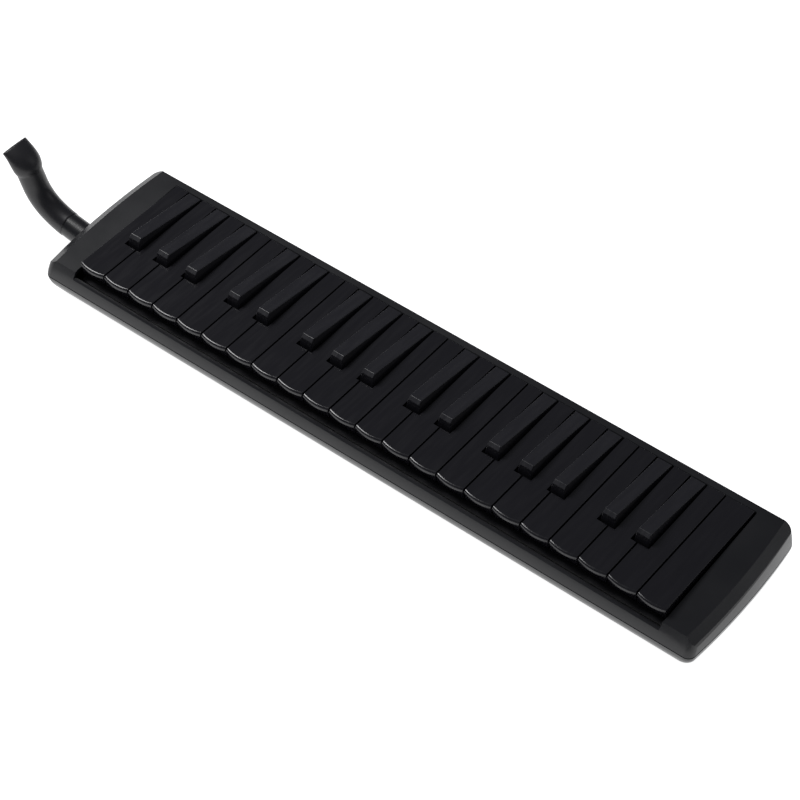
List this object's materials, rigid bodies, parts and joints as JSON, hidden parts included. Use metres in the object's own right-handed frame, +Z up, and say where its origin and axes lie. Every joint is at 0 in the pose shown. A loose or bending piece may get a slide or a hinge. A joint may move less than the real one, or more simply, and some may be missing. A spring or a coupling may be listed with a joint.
{
  "type": "melodica",
  "caption": "Keyboard wind instrument with a black casing, piano-style keys, inner reed chamber and valves, and a curved mouthpiece at the bass end.",
  "frame": {"origin": "centre of the middle foot, on the plane that the five rubber feet stand on", "axes": "+X along the keyboard to the treble end, +Y to the back, +Z up"},
  "size_m": [0.5193, 0.102, 0.0604],
  "materials": {
    "white_keys": "satin black",
    "black_keys": "matte black",
    "casing": "fine-grained matte black",
    "mouthpiece": "satin black",
    "inner_plastic": "moulded dark grey",
    "felt": "dark red felt",
    "rubber": "soft black",
    "brass": "rolled brass",
    "steel": "bright zinc",
    "strap": "black synthetic leather"
  },
  "bodies": {
    "case": {"air_chamber": "inner_plastic", "air_duct": "inner_plastic", "case_screws": "steel", "chamber_cover": "inner_plastic", "chamber_gasket": "rubber", "chamber_screws": "steel", "drain_spring": "steel", "feet": "rubber", "guide_frame": "inner_plastic", "hand_strap": "strap", "key_comb": "inner_plastic", "key_springs": "steel", "lower_case": "casing", "mouthpiece_socket": "casing", "pivot_rod": "steel", "reed_plates": "brass", "reeds": "brass", "socket_seal": "rubber", "stop_felts": "felt", "strap_clips": "casing", "upper_case": "casing"},
    "white_key_01": {"white_key_01": "white_keys"},
    "white_key_02": {"white_key_02": "white_keys"},
    "white_key_03": {"white_key_03": "white_keys"},
    "white_key_04": {"white_key_04": "white_keys"},
    "white_key_05": {"white_key_05": "white_keys"},
    "white_key_06": {"white_key_06": "white_keys"},
    "white_key_07": {"white_key_07": "white_keys"},
    "white_key_08": {"white_key_08": "white_keys"},
    "white_key_09": {"white_key_09": "white_keys"},
    "white_key_10": {"white_key_10": "white_keys"},
    "white_key_11": {"white_key_11": "white_keys"},
    "white_key_12": {"white_key_12": "white_keys"},
    "white_key_13": {"white_key_13": "white_keys"},
    "white_key_14": {"white_key_14": "white_keys"},
    "white_key_15": {"white_key_15": "white_keys"},
    "white_key_16": {"white_key_16": "white_keys"},
    "white_key_17": {"white_key_17": "white_keys"},
    "white_key_18": {"white_key_18": "white_keys"},
    "white_key_19": {"white_key_19": "white_keys"},
    "white_key_20": {"white_key_20": "white_keys"},
    "white_key_21": {"white_key_21": "white_keys"},
    "white_key_22": {"white_key_22": "white_keys"},
    "black_key_01": {"black_key_01": "black_keys"},
    "black_key_02": {"black_key_02": "black_keys"},
    "black_key_03": {"black_key_03": "black_keys"},
    "black_key_04": {"black_key_04": "black_keys"},
    "black_key_05": {"black_key_05": "black_keys"},
    "black_key_06": {"black_key_06": "black_keys"},
    "black_key_07": {"black_key_07": "black_keys"},
    "black_key_08": {"black_key_08": "black_keys"},
    "black_key_09": {"black_key_09": "black_keys"},
    "black_key_10": {"black_key_10": "black_keys"},
    "black_key_11": {"black_key_11": "black_keys"},
    "black_key_12": {"black_key_12": "black_keys"},
    "black_key_13": {"black_key_13": "black_keys"},
    "black_key_14": {"black_key_14": "black_keys"},
    "black_key_15": {"black_key_15": "black_keys"},
    "mouthpiece": {"mouthpiece": "mouthpiece"},
    "drain_button": {"drain_button": "casing"}
  },
  "joints": [
    {"name": "white_key_01_hinge", "type": "hinge", "parent": "case", "child": "white_key_01", "pos_m": [0, 0.022, 0.0205], "axis": [1, 0, 0], "range_deg": [0, 4.1], "stiffness_Nm_per_rad": 0.25, "springref_deg": -4.01, "deforming": ["key_springs"]},
    {"name": "white_key_02_hinge", "type": "hinge", "parent": "case", "child": "white_key_02", "pos_m": [0, 0.022, 0.0205], "axis": [1, 0, 0], "range_deg": [0, 4.1], "stiffness_Nm_per_rad": 0.25, "springref_deg": -4.01},
    {"name": "white_key_03_hinge", "type": "hinge", "parent": "case", "child": "white_key_03", "pos_m": [0, 0.022, 0.0205], "axis": [1, 0, 0], "range_deg": [0, 4.1], "stiffness_Nm_per_rad": 0.25, "springref_deg": -4.01},
    {"name": "white_key_04_hinge", "type": "hinge", "parent": "case", "child": "white_key_04", "pos_m": [0, 0.022, 0.0205], "axis": [1, 0, 0], "range_deg": [0, 4.1], "stiffness_Nm_per_rad": 0.25, "springref_deg": -4.01},
    {"name": "white_key_05_hinge", "type": "hinge", "parent": "case", "child": "white_key_05", "pos_m": [0, 0.022, 0.0205], "axis": [1, 0, 0], "range_deg": [0, 4.1], "stiffness_Nm_per_rad": 0.25, "springref_deg": -4.01},
    {"name": "white_key_06_hinge", "type": "hinge", "parent": "case", "child": "white_key_06", "pos_m": [0, 0.022, 0.0205], "axis": [1, 0, 0], "range_deg": [0, 4.1], "stiffness_Nm_per_rad": 0.25, "springref_deg": -4.01},
    {"name": "white_key_07_hinge", "type": "hinge", "parent": "case", "child": "white_key_07", "pos_m": [0, 0.022, 0.0205], "axis": [1, 0, 0], "range_deg": [0, 4.1], "stiffness_Nm_per_rad": 0.25, "springref_deg": -4.01},
    {"name": "white_key_08_hinge", "type": "hinge", "parent": "case", "child": "white_key_08", "pos_m": [0, 0.022, 0.0205], "axis": [1, 0, 0], "range_deg": [0, 4.1], "stiffness_Nm_per_rad": 0.25, "springref_deg": -4.01},
    {"name": "white_key_09_hinge", "type": "hinge", "parent": "case", "child": "white_key_09", "pos_m": [0, 0.022, 0.0205], "axis": [1, 0, 0], "range_deg": [0, 4.1], "stiffness_Nm_per_rad": 0.25, "springref_deg": -4.01},
    {"name": "white_key_10_hinge", "type": "hinge", "parent": "case", "child": "white_key_10", "pos_m": [0, 0.022, 0.0205], "axis": [1, 0, 0], "range_deg": [0, 4.1], "stiffness_Nm_per_rad": 0.25, "springref_deg": -4.01},
    {"name": "white_key_11_hinge", "type": "hinge", "parent": "case", "child": "white_key_11", "pos_m": [0, 0.022, 0.0205], "axis": [1, 0, 0], "range_deg": [0, 4.1], "stiffness_Nm_per_rad": 0.25, "springref_deg": -4.01},
    {"name": "white_key_12_hinge", "type": "hinge", "parent": "case", "child": "white_key_12", "pos_m": [0, 0.022, 0.0205], "axis": [1, 0, 0], "range_deg": [0, 4.1], "stiffness_Nm_per_rad": 0.25, "springref_deg": -4.01},
    {"name": "white_key_13_hinge", "type": "hinge", "parent": "case", "child": "white_key_13", "pos_m": [0, 0.022, 0.0205], "axis": [1, 0, 0], "range_deg": [0, 4.1], "stiffness_Nm_per_rad": 0.25, "springref_deg": -4.01},
    {"name": "white_key_14_hinge", "type": "hinge", "parent": "case", "child": "white_key_14", "pos_m": [0, 0.022, 0.0205], "axis": [1, 0, 0], "range_deg": [0, 4.1], "stiffness_Nm_per_rad": 0.25, "springref_deg": -4.01},
    {"name": "white_key_15_hinge", "type": "hinge", "parent": "case", "child": "white_key_15", "pos_m": [0, 0.022, 0.0205], "axis": [1, 0, 0], "range_deg": [0, 4.1], "stiffness_Nm_per_rad": 0.25, "springref_deg": -4.01},
    {"name": "white_key_16_hinge", "type": "hinge", "parent": "case", "child": "white_key_16", "pos_m": [0, 0.022, 0.0205], "axis": [1, 0, 0], "range_deg": [0, 4.1], "stiffness_Nm_per_rad": 0.25, "springref_deg": -4.01},
    {"name": "white_key_17_hinge", "type": "hinge", "parent": "case", "child": "white_key_17", "pos_m": [0, 0.022, 0.0205], "axis": [1, 0, 0], "range_deg": [0, 4.1], "stiffness_Nm_per_rad": 0.25, "springref_deg": -4.01},
    {"name": "white_key_18_hinge", "type": "hinge", "parent": "case", "child": "white_key_18", "pos_m": [0, 0.022, 0.0205], "axis": [1, 0, 0], "range_deg": [0, 4.1], "stiffness_Nm_per_rad": 0.25, "springref_deg": -4.01},
    {"name": "white_key_19_hinge", "type": "hinge", "parent": "case", "child": "white_key_19", "pos_m": [0, 0.022, 0.0205], "axis": [1, 0, 0], "range_deg": [0, 4.1], "stiffness_Nm_per_rad": 0.25, "springref_deg": -4.01},
    {"name": "white_key_20_hinge", "type": "hinge", "parent": "case", "child": "white_key_20", "pos_m": [0, 0.022, 0.0205], "axis": [1, 0, 0], "range_deg": [0, 4.1], "stiffness_Nm_per_rad": 0.25, "springref_deg": -4.01},
    {"name": "white_key_21_hinge", "type": "hinge", "parent": "case", "child": "white_key_21", "pos_m": [0, 0.022, 0.0205], "axis": [1, 0, 0], "range_deg": [0, 4.1], "stiffness_Nm_per_rad": 0.25, "springref_deg": -4.01},
    {"name": "white_key_22_hinge", "type": "hinge", "parent": "case", "child": "white_key_22", "pos_m": [0, 0.022, 0.0205], "axis": [1, 0, 0], "range_deg": [0, 4.1], "stiffness_Nm_per_rad": 0.25, "springref_deg": -4.01},
    {"name": "black_key_01_hinge", "type": "hinge", "parent": "case", "child": "black_key_01", "pos_m": [0, 0.022, 0.0205], "axis": [1, 0, 0], "range_deg": [0, 5], "stiffness_Nm_per_rad": 0.25, "springref_deg": -4.01},
    {"name": "black_key_02_hinge", "type": "hinge", "parent": "case", "child": "black_key_02", "pos_m": [0, 0.022, 0.0205], "axis": [1, 0, 0], "range_deg": [0, 5], "stiffness_Nm_per_rad": 0.25, "springref_deg": -4.01},
    {"name": "black_key_03_hinge", "type": "hinge", "parent": "case", "child": "black_key_03", "pos_m": [0, 0.022, 0.0205], "axis": [1, 0, 0], "range_deg": [0, 5], "stiffness_Nm_per_rad": 0.25, "springref_deg": -4.01},
    {"name": "black_key_04_hinge", "type": "hinge", "parent": "case", "child": "black_key_04", "pos_m": [0, 0.022, 0.0205], "axis": [1, 0, 0], "range_deg": [0, 5], "stiffness_Nm_per_rad": 0.25, "springref_deg": -4.01},
    {"name": "black_key_05_hinge", "type": "hinge", "parent": "case", "child": "black_key_05", "pos_m": [0, 0.022, 0.0205], "axis": [1, 0, 0], "range_deg": [0, 5], "stiffness_Nm_per_rad": 0.25, "springref_deg": -4.01},
    {"name": "black_key_06_hinge", "type": "hinge", "parent": "case", "child": "black_key_06", "pos_m": [0, 0.022, 0.0205], "axis": [1, 0, 0], "range_deg": [0, 5], "stiffness_Nm_per_rad": 0.25, "springref_deg": -4.01},
    {"name": "black_key_07_hinge", "type": "hinge", "parent": "case", "child": "black_key_07", "pos_m": [0, 0.022, 0.0205], "axis": [1, 0, 0], "range_deg": [0, 5], "stiffness_Nm_per_rad": 0.25, "springref_deg": -4.01},
    {"name": "black_key_08_hinge", "type": "hinge", "parent": "case", "child": "black_key_08", "pos_m": [0, 0.022, 0.0205], "axis": [1, 0, 0], "range_deg": [0, 5], "stiffness_Nm_per_rad": 0.25, "springref_deg": -4.01},
    {"name": "black_key_09_hinge", "type": "hinge", "parent": "case", "child": "black_key_09", "pos_m": [0, 0.022, 0.0205], "axis": [1, 0, 0], "range_deg": [0, 5], "stiffness_Nm_per_rad": 0.25, "springref_deg": -4.01},
    {"name": "black_key_10_hinge", "type": "hinge", "parent": "case", "child": "black_key_10", "pos_m": [0, 0.022, 0.0205], "axis": [1, 0, 0], "range_deg": [0, 5], "stiffness_Nm_per_rad": 0.25, "springref_deg": -4.01},
    {"name": "black_key_11_hinge", "type": "hinge", "parent": "case", "child": "black_key_11", "pos_m": [0, 0.022, 0.0205], "axis": [1, 0, 0], "range_deg": [0, 5], "stiffness_Nm_per_rad": 0.25, "springref_deg": -4.01},
    {"name": "black_key_12_hinge", "type": "hinge", "parent": "case", "child": "black_key_12", "pos_m": [0, 0.022, 0.0205], "axis": [1, 0, 0], "range_deg": [0, 5], "stiffness_Nm_per_rad": 0.25, "springref_deg": -4.01},
    {"name": "black_key_13_hinge", "type": "hinge", "parent": "case", "child": "black_key_13", "pos_m": [0, 0.022, 0.0205], "axis": [1, 0, 0], "range_deg": [0, 5], "stiffness_Nm_per_rad": 0.25, "springref_deg": -4.01},
    {"name": "black_key_14_hinge", "type": "hinge", "parent": "case", "child": "black_key_14", "pos_m": [0, 0.022, 0.0205], "axis": [1, 0, 0], "range_deg": [0, 5], "stiffness_Nm_per_rad": 0.25, "springref_deg": -4.01},
    {"name": "black_key_15_hinge", "type": "hinge", "parent": "case", "child": "black_key_15", "pos_m": [0, 0.022, 0.0205], "axis": [1, 0, 0], "range_deg": [0, 5], "stiffness_Nm_per_rad": 0.25, "springref_deg": -4.01},
    {"name": "mouthpiece_pull", "type": "slide", "parent": "case", "child": "mouthpiece", "axis": [-0.9848, 0, 0.1736], "range_m": [0, 0.014]},
    {"name": "drain_button_push", "type": "slide", "parent": "case", "child": "drain_button", "axis": [0, -1, 0], "range_m": [0, 0.0018], "stiffness_N_per_m": 200, "springref_m": -0.001, "deforming": ["drain_spring"]}
  ]
}
